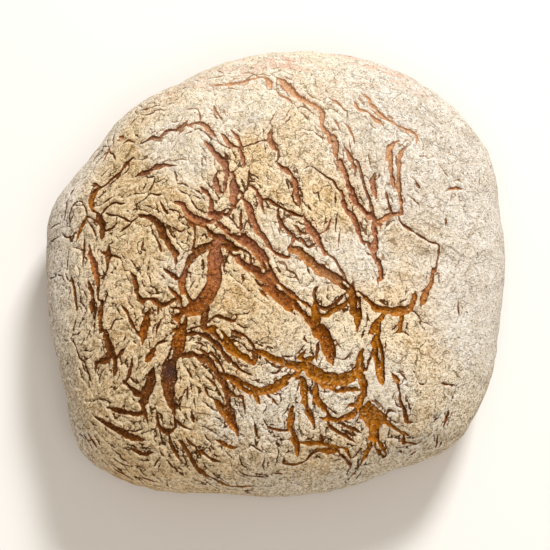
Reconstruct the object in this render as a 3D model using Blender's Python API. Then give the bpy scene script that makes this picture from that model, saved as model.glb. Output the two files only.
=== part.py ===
"""Rustic country loaf: one solid with a flat base, a domed crown and the crust's main tears.

Units are metres, +Z is up.  The loaf stands on z = 0 with the middle of its outline on the Z axis.
"""
import math

import bmesh
import bpy
from mathutils import Vector

MM = 0.001

# Driving sizes
CROWN_HEIGHT = 82 * MM      # base to the top of the crown, before its soft swells
WAIST_HEIGHT = 32 * MM      # level at which the loaf is widest
BASE_SHARE = 0.90           # flat base's radius as a share of the widest radius
PLAN_POWER = 2.6            # how square the crown's shoulder is in section
RISE_POWER = 2.2
LUMP_HEIGHT = 0.9 * MM      # soft unevenness of the crown

# Radius of the widest level every 15 degrees, counter-clockwise from +X: an uneven round
OUTLINE = [radius * MM for radius in (
    125.0, 127.5, 135.0, 134.5, 131.0, 128.0, 124.5, 122.5, 119.5, 121.5, 120.5, 128.0,
    125.5, 127.0, 132.0, 144.5, 137.0, 124.0, 121.0, 122.5, 124.5, 134.0, 132.5, 126.0)]

# The crust's main tears seen from above, in millimetres: widest opening, then the way it runs,
# from the point that the outline's radii start at
TEARS = [
    (3.2, (0, 99), (5, 95), (13, 86), (23, 80)),
    (2.4, (23, 80), (24.5, 72), (28.5, 60)),
    (2.6, (30.5, 63), (31.5, 56), (32.5, 49)),
    (2.4, (36, 58), (40, 50), (42, 41)),
    (3.8, (34, 49), (36, 41), (39, 31), (44, 23), (50, 18)),
    (2.4, (46, 89), (51, 82), (55, 76), (60, 72)),
    (3.6, (64, 60), (60.5, 55), (61.5, 44)),
    (2.4, (64, 39), (65, 28), (66.5, 21)),
    (2.4, (-46, 69.5), (-40, 71), (-34, 65), (-31, 61)),
    (2.4, (-29, 65), (-24, 57.5), (-18, 56.5)),
    (2.4, (-24, 67), (-19, 60), (-17, 50), (-16.5, 44)),
    (3.0, (-38, 60), (-32, 52.5), (-25.5, 43), (-26.5, 32)),
    (2.4, (-58, 66), (-51, 67), (-46, 73)),
    (2.6, (-75.5, 54), (-82, 45), (-94, 37)),
    (4.2, (-95.5, 35), (-97.5, 29), (-96, 23)),
    (3.4, (-94, 22), (-91.5, 15), (-91, 8)),
    (3.4, (-98, 6), (-96, -4), (-93.5, -16)),
    (2.4, (-75, 42), (-65, 45.5), (-51, 46.5)),
    (4.0, (-71, 19.5), (-63, 17), (-57.5, 8), (-52, -2)),
    (4.2, (-21.5, 40), (-22, 32), (-22.5, 24)),
    (2.6, (-40, 34), (-34, 26), (-31, 17)),
    (3.4, (-52, 26), (-45, 19), (-35, 15)),
    (2.6, (-17, 28), (-23, 21), (-31, 19)),
    (3.0, (-43, 14), (-36, 11), (-28, 6)),
    (4.4, (-31, 17), (-24, 9), (-14, 4), (-6, -5), (-1, -18)),
    (3.0, (-30, 4), (-39, 1), (-47, -11)),
    (3.8, (-47, -11), (-48, -20)),
    (2.4, (-13, 35), (-8.5, 28), (-6, 20)),
    (2.6, (-16, 26), (-11, 13), (-3, 1), (7, -4)),
    (6.2, (-31, 3), (-31.5, -15), (-38, -27), (-49, -35)),
    (3.6, (-36.5, -27), (-36.5, -40)),
    (4.4, (-20, -6), (-10, -13.5), (4, -27), (17, -36)),
    (4.8, (16, -35), (24, -44), (29, -58)),
    (3.2, (14.5, 18), (20, 7), (25.5, -2)),
    (5.0, (9, -0.5), (17, -5), (28, -14), (40, -24), (41.5, -42)),
    (3.6, (63, 20.5), (56, 18), (51.5, 8)),
    (2.8, (51.5, 10), (51.5, -1), (54, -14)),
    (2.6, (83, -8), (80.5, -17), (75.5, -28)),
    (2.8, (47, -26), (55, -31), (66, -31), (72, -21)),
    (3.4, (54, -34), (50, -43), (53, -57), (54.5, -69)),
    (7.0, (13, -60), (23, -66), (37, -65.5), (44, -58)),
    (3.2, (44.5, -51), (42.5, -61)),
    (3.0, (-11, -51), (1, -56.5), (15, -61)),
    (4.6, (-25, -65), (-15, -71), (-5, -71.5), (11, -64)),
    (5.4, (-49, -35), (-48.5, -45), (-54, -59), (-54.5, -76)),
    (4.4, (-32, -40), (-25, -49), (-14, -57)),
    (2.6, (-47, -43), (-35, -45), (-24, -57)),
    (2.6, (-47, -54.5), (-36, -57), (-25, -71)),
    (4.4, (-64, -30), (-67, -39), (-68.5, -49)),
    (3.6, (-62, -50), (-67, -58)),
    (2.6, (-77, -10), (-72, -20), (-68, -27)),
    (3.6, (-90.5, -24), (-90, -38), (-86.5, -51), (-92, -56)),
    (4.4, (-63, -63), (-67.5, -76)),
    (2.8, (-79, -66), (-69, -75)),
    (3.8, (-94, -84), (-82, -91.5), (-67, -97)),
    (2.6, (-60, -89), (-54, -97), (-48, -107)),
    (2.6, (-50, -96), (-43, -107), (-30, -116.5)),
    (3.6, (-31, -76), (-24, -86), (-19.5, -95)),
    (2.8, (-31, -96.5), (-19, -101)),
    (3.2, (13.5, -67), (14.5, -78), (20, -90)),
    (3.4, (8.5, -80), (8, -92), (11, -105)),
    (2.8, (22, -85), (31, -86.5), (40, -84)),
    (2.4, (12, -97.5), (26, -98.5), (39, -105)),
    (7.6, (44, -67), (46, -81), (50.5, -91), (50, -101)),
    (2.8, (37, -79.5), (52, -80), (64, -91)),
    (2.6, (51, -96), (46, -105), (40, -114)),
    (2.2, (-35, 94.5), (-20, 95.5), (-7, 99), (-2, 92)),
    (2.0, (61, 71.5), (71, 67.5), (75, 60)),
    (2.4, (-2, 67), (-3, 62), (0, 56)),
    (2.2, (0, 48), (8, 40), (11, 32), (12.5, 24)),
    (2.2, (34, 31), (35.5, 26), (40, 18.5), (42, 11), (46, 2)),
    (2.2, (-8, 26.5), (0, 24), (14.5, 17.5)),
    (2.2, (1.5, 21), (2, 14), (11.5, 4.5)),
    (2.4, (-30.8, 42), (-31, 37), (-29.5, 31)),
    (2.2, (-106, 8), (-103, 15), (-100, 20)),
    (2.0, (-108, -10), (-105.5, -19), (-104.5, -29)),
    (2.4, (-98, -14), (-96, -22), (-97, -31)),
    (2.0, (-80, -27), (-75, -36), (-70, -44)),
    (2.4, (-68, -24.5), (-61, -27), (-53, -26)),
    (2.4, (-56, -17), (-51, -24), (-48.5, -30)),
    (2.4, (-84, -50), (-83, -61), (-84, -64)),
    (2.2, (-86, -80.5), (-78, -82.5), (-72, -83.5)),
    (2.4, (-54.5, -75), (-52, -81), (-51, -90)),
    (2.2, (-24, -41), (-15.5, -45), (-11, -53), (-11.5, -59)),
    (2.4, (-24, -56), (-17, -62), (-12, -64)),
    (2.2, (19.8, -22), (19.5, -29), (26, -34), (37, -27)),
    (2.0, (66, -79), (66.5, -84), (71, -87.5)),
    (2.0, (88, -80), (87, -90)),
    (2.6, (90.5, 34), (95, 36.5), (100, 36.5)),
    (2.2, (-25, -71), (-24, -78), (-21.5, -86)),
]
TAPER_POWER = 0.45          # how fast a tear opens from its closed ends
TEAR_STEP = 7 * MM          # spacing of the sections along a tear
SHARE_AT_ENDS = 0.15        # width left at a tear's ends

FACE_CUTS = 15              # cuts along each edge of the cube that becomes the loaf


def clear_scene():
    for existing in list(bpy.data.objects):
        bpy.data.objects.remove(existing, do_unlink=True)


def new_collection(name):
    collection = bpy.data.collections.new(name)
    bpy.context.scene.collection.children.link(collection)
    return collection


def catmull_rom(before, start, end, after, share):
    """Value a share of the way from start to end on a smooth curve that passes through both."""
    tangent_in = (end - before) / 2
    tangent_out = (after - start) / 2
    square, cube = share ** 2, share ** 3
    return (start * (2 * cube - 3 * square + 1) + tangent_in * (cube - 2 * square + share)
            + end * (3 * square - 2 * cube) + tangent_out * (cube - square))


def outline_radius(angle):
    place = (angle / math.tau * len(OUTLINE)) % len(OUTLINE)
    first = int(place)
    around = [OUTLINE[(first + step) % len(OUTLINE)] for step in (-1, 0, 1, 2)]
    return catmull_rom(*around, place - first)


def outline_middle():
    """Middle of the box round the outline, which the loaf is placed by."""
    angles = [math.radians(degree) for degree in range(360)]
    rim_x = [outline_radius(angle) * math.cos(angle) for angle in angles]
    rim_y = [outline_radius(angle) * math.sin(angle) for angle in angles]
    return Vector((min(rim_x) + max(rim_x), min(rim_y) + max(rim_y), 0)) / 2


def lump(x, y):
    """Height of the crown's soft swells at a place in the plan."""
    return LUMP_HEIGHT * (math.sin(x / 0.017 + 1.0) * math.cos(y / 0.021)
                          + math.sin((x + y) / 0.031 + 2.0))


def crown_height(x, y):
    share = min(math.hypot(x, y) / outline_radius(math.atan2(y, x)), 1.0)
    rise = (1 - share ** PLAN_POWER) ** (1 / RISE_POWER)
    return WAIST_HEIGHT + (CROWN_HEIGHT - WAIST_HEIGHT) * rise + lump(x, y) * rise


def loaf_place(corner):
    """Where a point of the cube with corners at +-1 goes on the loaf."""
    x, y, z = corner
    angle = math.atan2(y, x)
    radius = outline_radius(angle)
    if z >= 0:
        tilt = math.acos(z / corner.length)
        reach = radius * math.sin(tilt) ** (2 / PLAN_POWER)
    elif z > -0.999:
        reach = radius * (BASE_SHARE + (1 - BASE_SHARE) * math.sqrt(1 - z * z))
    else:
        reach = radius * BASE_SHARE * max(abs(x), abs(y))
    plan_x, plan_y = reach * math.cos(angle), reach * math.sin(angle)
    if z > 0:
        rise = math.cos(tilt) ** (2 / RISE_POWER)
        height = (WAIST_HEIGHT + (CROWN_HEIGHT - WAIST_HEIGHT) * rise
                  + lump(plan_x, plan_y) * rise)
    else:
        height = WAIST_HEIGHT * (1 + z)
    return Vector((plan_x, plan_y, height))


def make_loaf(middle, collection):
    bm = bmesh.new()
    bmesh.ops.create_cube(bm, size=2)
    bmesh.ops.subdivide_edges(bm, edges=bm.edges[:], cuts=FACE_CUTS, use_grid_fill=True)
    for vert in bm.verts:
        vert.co = loaf_place(vert.co) - middle
    base = [face for face in bm.faces if max(vert.co.z for vert in face.verts) < 1e-6]
    bmesh.ops.dissolve_faces(bm, faces=base)
    bmesh.ops.recalc_face_normals(bm, faces=bm.faces[:])
    mesh = bpy.data.meshes.new("loaf")
    bm.to_mesh(mesh)
    bm.free()
    mesh.shade_smooth()
    loaf = bpy.data.objects.new("loaf", mesh)
    collection.objects.link(loaf)
    return loaf


def tear_route(corners):
    """Points a step apart on a smooth line through a tear's corners, in metres."""
    corners = [Vector(corner) * MM for corner in corners]
    padded = [2 * corners[0] - corners[1], *corners, 2 * corners[-1] - corners[-2]]
    route = [corners[0]]
    for index in range(1, len(padded) - 2):
        before, start, end, after = padded[index - 1:index + 3]
        steps = max(2, round((end - start).length / TEAR_STEP))
        route += [catmull_rom(before, start, end, after, step / steps)
                  for step in range(1, steps + 1)]
    return route


def make_tear(number, width, corners, middle, collection):
    """A spindle along the crust, half sunk in it, which cuts one tear."""
    route = tear_route(corners)
    curve = bpy.data.curves.new(f"tear {number} line", "CURVE")
    curve.dimensions = "3D"
    curve.twist_mode = "Z_UP"
    curve.bevel_depth = width * MM / 2
    curve.bevel_resolution = 0
    curve.use_fill_caps = True
    spline = curve.splines.new("POLY")
    spline.points.add(len(route) - 1)
    for index, (point, place) in enumerate(zip(spline.points, route)):
        share = index / (len(route) - 1)
        height = crown_height(place.x, place.y)
        point.co = (place.x - middle.x, place.y - middle.y, height, 1)
        point.radius = max(math.sin(math.pi * share), 0) ** TAPER_POWER
        point.radius = max(point.radius, SHARE_AT_ENDS)
    line = bpy.data.objects.new(f"tear {number} line", curve)
    collection.objects.link(line)

    depsgraph = bpy.context.evaluated_depsgraph_get()
    mesh = bpy.data.meshes.new_from_object(line.evaluated_get(depsgraph))
    bm = bmesh.new()
    bm.from_mesh(mesh)
    bmesh.ops.remove_doubles(bm, verts=bm.verts[:], dist=0.01 * MM)
    bmesh.ops.recalc_face_normals(bm, faces=bm.faces[:])
    bm.to_mesh(mesh)
    bm.free()
    tear = bpy.data.objects.new(f"tear {number}", mesh)
    tear.matrix_world = line.matrix_world
    tear.hide_render = True
    tear.display_type = "WIRE"
    collection.objects.link(tear)
    bpy.data.objects.remove(line)


def crust_material():
    material = bpy.data.materials.new("floured crust")
    material.use_nodes = True
    shader = material.node_tree.nodes["Principled BSDF"]
    shader.inputs["Base Color"].default_value = (0.76, 0.66, 0.48, 1)
    shader.inputs["Roughness"].default_value = 0.85
    shader.inputs["Metallic"].default_value = 0.0
    return material


def main():
    clear_scene()
    parts = new_collection("rustic loaf")
    cutters = new_collection("tears")
    middle = outline_middle()
    loaf = make_loaf(middle, parts)
    loaf.data.materials.append(crust_material())
    for number, (width, *corners) in enumerate(TEARS, 1):
        make_tear(number, width, corners, middle, cutters)
    cut = loaf.modifiers.new("tears", "BOOLEAN")
    cut.operation = "DIFFERENCE"
    cut.operand_type = "COLLECTION"
    cut.collection = cutters
    cut.solver = "EXACT"


main()
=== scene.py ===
"""Looks of a rustic country loaf: a floured crust, torn open as it baked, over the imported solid."""

import math

import bpy
import numpy as np
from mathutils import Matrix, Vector
from mathutils.geometry import delaunay_2d_cdt


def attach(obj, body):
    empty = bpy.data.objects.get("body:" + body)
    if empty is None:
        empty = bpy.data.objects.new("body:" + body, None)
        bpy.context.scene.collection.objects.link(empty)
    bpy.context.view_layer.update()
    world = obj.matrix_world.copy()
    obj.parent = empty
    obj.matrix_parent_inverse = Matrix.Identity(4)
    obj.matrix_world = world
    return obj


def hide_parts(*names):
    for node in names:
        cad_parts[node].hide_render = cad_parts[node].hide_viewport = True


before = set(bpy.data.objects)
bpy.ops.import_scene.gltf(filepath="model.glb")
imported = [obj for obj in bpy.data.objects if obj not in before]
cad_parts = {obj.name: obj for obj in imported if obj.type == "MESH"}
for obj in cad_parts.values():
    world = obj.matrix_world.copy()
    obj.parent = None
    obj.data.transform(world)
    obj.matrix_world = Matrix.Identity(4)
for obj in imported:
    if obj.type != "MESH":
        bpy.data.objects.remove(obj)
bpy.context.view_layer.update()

MM = 0.001

# ---------------------------------------------------------------------------------------------
# The loaf's form, in millimetres
# ---------------------------------------------------------------------------------------------
CROWN_HEIGHT = 82.0         # base to the top of the crown, before its soft swells
WAIST_HEIGHT = 32.0         # level at which the loaf is widest
BASE_SHARE = 0.90           # flat base's radius as a share of the widest radius
PLAN_POWER = 2.6            # how square the crown's shoulder is in section
RISE_POWER = 2.2
LUMP_HEIGHT = 0.9           # soft unevenness of the crown

# Radius of the widest level every 15 degrees, counter-clockwise from +X: an uneven round
OUTLINE = np.array((
    125.5, 128.0, 135.0, 134.5, 130.5, 126.8, 122.8, 120.0, 118.3, 121.0, 120.5, 128.0,
    125.5, 127.0, 132.0, 144.5, 137.8, 126.0, 124.0, 124.8, 126.8, 135.0, 132.5, 126.0))
MEAN_RADIUS = OUTLINE.mean()
MIDDLE = np.array((-0.50, 2.05))    # middle of the solid's box, seen from the outline's own middle

# The tears seen from above, in millimetres: widest opening, then the way it runs.
# Amber tears show young crust, toasted to an orange brown.
AMBER_TEARS = [
    (2.0, (-36, 94.5), (-27, 95), (-20, 95.7), (-13, 98), (-7, 99)),
    (2.4, (-8, 99.3), (-4, 96.5), (-1.8, 91.5)),
    (3.2, (0, 99), (5, 95), (10, 88.5), (15, 84.5), (20, 81), (23.5, 79)),
    (2.2, (41.5, 85), (43, 82), (45, 79), (49, 77.5), (51, 74), (54, 71.5), (57.5, 68.5)),
    (2.4, (46, 89.5), (48.5, 87), (50.5, 83), (53, 80), (55, 77), (57, 74), (60, 72)),
    (2.0, (60.5, 72), (66, 69), (71, 67.5), (75, 64.5), (74.5, 59)),
    (3.0, (64.5, 60.5), (60.6, 57), (60.0, 50), (60.8, 43), (62, 34)),
    (2.0, (68.5, 57), (65.8, 53.5), (65, 46), (64.7, 39), (65, 32), (65.7, 26), (66.5, 20.5)),
    (4.2, (-94, 37), (-97, 33), (-97.5, 29), (-96.5, 24)),
    (2.2, (-106, 8), (-105, 12), (-103, 15.5), (-100.5, 19.5)),
    (3.6, (-98.5, 6), (-97.5, 0), (-95.5, -5), (-94, -11), (-93.5, -16)),
    (5.0, (8.5, -0.5), (12, -1), (17, -5), (20.5, -8.5), (26, -12.5), (32, -16), (38, -21),
     (40.5, -26), (41, -33), (41.3, -43)),
    (3.8, (64, 20.5), (60, 19.5), (56, 17.5), (53, 15)),
    (1.8, (55, 16), (54.5, 11)),
    (4.2, (47, -26), (51, -29), (56, -31), (62, -31.2), (68, -30), (71, -26), (72.5, -20.5)),
    (2.6, (65, -31.5), (64.3, -37), (63.5, -42)),
    (3.2, (82, -8), (81.5, -14), (79.5, -19), (77, -24), (75, -28.5)),
    (2.8, (90.5, 34), (93, 35.8), (96, 36.5), (100, 36.3)),
    (7.2, (13, -60), (18, -62), (22.5, -65.5), (28, -67), (33, -66.5), (39, -64.5), (43.5, -60)),
    (3.6, (45, -50.5), (43, -55), (42.5, -61)),
    (4.6, (54.5, -34), (52, -39), (49.7, -43.5), (51.5, -48), (52.3, -54), (53, -60), (54.5, -69.5)),
    (3.2, (-11, -51.5), (-5, -54), (1, -56.5), (8, -59), (15, -61)),
    (4.6, (-25, -65), (-20, -67), (-15, -70.5), (-9, -72.2), (-3, -71), (3, -68), (11, -64.5)),
    (4.6, (-32, -40.5), (-28, -44), (-25.5, -48), (-22, -52), (-17, -55), (-13.5, -57.5)),
    (3.2, (13.5, -67), (14, -73), (14.5, -78), (17.5, -84), (20.5, -90)),
    (3.6, (8.5, -79), (8, -85), (7.5, -90), (10, -96), (11, -105)),
    (4.6, (44, -65), (44.7, -70), (45, -77)),
    (10.0, (44.3, -76.5), (46.5, -81), (49, -85), (50.5, -89), (50.9, -94)),
    (2.4, (37.5, -79.8), (41, -78.7), (44, -78.5)),
    (2.2, (50.7, -93), (51.3, -98)),
    (2.6, (49.6, -96), (48, -100.5), (46.5, -104.5)),
    (1.6, (45.2, -106), (43, -109.5)),
    (2.0, (41.2, -112), (39, -114.5)),
    (2.2, (52.6, -96), (55, -99.5), (57.5, -103.5)),
    (1.5, (51, -99), (53.8, -103.8)),
    (2.4, (53, -86), (58, -88), (63, -91), (70, -94)),
    (3.8, (-31.5, -75.5), (-28, -79.5), (-24.5, -85), (-21.5, -90), (-19.5, -95)),
    (2.2, (-11, -74.5), (-7.5, -79.5)),
    (4.6, (19, -28.5), (20, -33), (21.5, -38)),
    (2.4, (22, -33.5), (26, -34.3), (29, -32), (33, -29.5), (38, -27)),
    (3.0, (26.3, -69.3), (30.5, -72.6), (35, -71.9), (39.5, -71.5), (44, -72)),
    (2.6, (22, -101.5), (27, -102.5), (32, -102)),
    (1.4, (-83.5, 62.3), (-79, 63.8), (-75.5, 61.8)),
    (2.4, (-85.5, 68), (-82, 66.3)),
    (1.5, (-94, 52.5), (-92.3, 57), (-91, 60), (-90.3, 64)),
    (3.0, (22, -84.7), (27, -86.5), (31.5, -86.3), (36, -84.7), (40, -83.7)),
    (3.0, (20.8, -68.5), (20.3, -75), (22.5, -78.3), (25, -81), (27.3, -83.6)),
    (2.2, (12, -97.7), (20, -98), (26, -98.6), (32, -100), (36, -101), (39, -105)),
    (2.2, (16, -50.3), (14, -53), (12, -55.3), (15, -56.8), (20.5, -55.2)),
    (3.0, (-31.3, -96), (-27, -98), (-23.5, -100.3), (-19, -99.7)),
    (2.2, (58.3, -61.5), (61, -64.7), (63, -66.3)),
    (7.0, (42, -79.5), (48, -82), (55.5, -85)),
]

# Russet tears are open to a red-brown crust.
RUSSET_TEARS = [
    (2.4, (23.5, 80), (24.5, 75), (24.5, 70), (26.5, 66), (28.5, 63), (28.5, 59)),
    (2.6, (30.7, 63.5), (31.5, 58), (31.5, 53), (33, 48.5)),
    (2.4, (35.8, 58), (38, 54), (40, 50), (41, 46), (42, 41)),
    (3.8, (34, 49.5), (34.8, 45), (37, 38.5), (39.3, 32), (41, 27.5), (44.5, 22.5), (50.5, 17.5)),
    (2.0, (31, 72.5), (33, 69), (35, 65.5)),
    (2.2, (-29.3, 65), (-26, 61), (-23.5, 57.5), (-18, 56)),
    (2.2, (-24.3, 67.5), (-21.5, 64), (-19.5, 61), (-17.8, 56)),
    (2.4, (-19.5, 56), (-17.7, 51), (-16.5, 47), (-17.2, 43.5)),
    (2.2, (-46.5, 69.5), (-41.5, 71), (-37.5, 68.7), (-34.5, 64.7), (-30.8, 61.3)),
    (2.8, (-38.3, 60), (-35.5, 58), (-32.5, 53), (-29.5, 49.7), (-26.8, 46), (-25.5, 42),
     (-26.3, 36.5), (-27.5, 29)),
    (3.2, (-2, 67.5), (-3.3, 62.5), (-1.5, 59), (0.3, 55)),
    (2.4, (-75.5, 41.5), (-70, 43), (-65, 45.5), (-60, 47), (-51, 46.3)),
    (4.4, (-22, 40), (-21.5, 34), (-22, 28), (-23, 23.5)),
    (2.6, (-30.8, 42), (-31, 37), (-29.7, 31)),
    (2.6, (-40, 34.5), (-37, 32), (-34.5, 28), (-34, 23), (-31.5, 17)),
    (3.4, (-54, 26.3), (-49.5, 25.3), (-46.5, 21.5), (-43.5, 17.8), (-39.5, 15.6), (-34, 15)),
    (5.0, (-34.5, 19), (-31.5, 18.3), (-28.5, 17.5)),
    (2.8, (-31.5, 16.5), (-28, 12.3), (-24.5, 9.3)),
    (5.0, (-25, 9.2), (-19, 7), (-14.5, 4), (-10.3, 0), (-7, -4), (-4.7, -8.5), (-3, -13), (0, -17)),
    (2.4, (-13, 35), (-9.5, 30), (-8.2, 26), (-6, 20)),
    (2.6, (-16.5, 26.5), (-14, 22.5), (-12.3, 18), (-10.5, 11.5), (-7, 6.3), (-4, 2), (-0.5, -2),
     (7, -4.5)),
    (4.4, (-46.8, -8.5), (-47.7, -15), (-48.4, -21.5)),
    (5.8, (-20, -5.5), (-15.5, -8.5), (-12, -11), (-8, -15), (-4, -19), (1, -23.5), (6, -27.5),
     (11, -31.5), (17, -36.5)),
    (7.0, (16, -35.5), (20, -39.5), (24, -44), (26.5, -50), (28, -55), (29, -60)),
    (2.2, (0, -17), (5, -21), (9, -24), (13, -27), (19, -31)),
    (3.4, (14.3, 18.5), (16, 13.5), (18, 10), (20.7, 7), (23, 3.5), (25.8, -2)),
    (3.0, (50.8, 15.5), (51.5, 8), (51.2, 2), (52, -4), (54, -9), (54, -15)),
    (2.0, (47.5, 4.5), (50, 0.5)),
    (2.4, (0, 48.5), (2.3, 45.8), (5.5, 43), (8.5, 39.5), (10.7, 34.5), (11.3, 30), (12.3, 27),
     (12.7, 23)),
    (2.4, (34, 31.5), (35.3, 27), (36.7, 21.5), (40, 18.3), (41.3, 14.5), (42.5, 9.5), (44.5, 5.5),
     (46.3, 1.5)),
    (2.4, (52, 42), (51, 37), (51.8, 32), (52.3, 27)),
    (1.8, (28.7, 17), (27.5, 13), (26, 10.5), (23, 8.5)),
    (2.2, (9.3, 8.5), (8.5, 4), (7.5, 0), (6.8, -4)),
    (1.8, (-9.7, -20.3), (-7, -23), (-4.7, -25.3)),
    (7.4, (-29.5, 7), (-31, 1), (-31.2, -5), (-31.2, -12), (-32, -18), (-35, -23.5), (-39, -28),
     (-44, -31.5), (-50, -35.5)),
    (6.2, (-46.5, -31), (-48.5, -40), (-50.2, -49), (-53, -60)),
    (4.6, (-64, -29.5), (-66, -33.5), (-67, -38.5), (-68, -43.5), (-68.5, -49.5)),
    (3.8, (-62, -49.5), (-64.3, -54), (-67, -58)),
]

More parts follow.
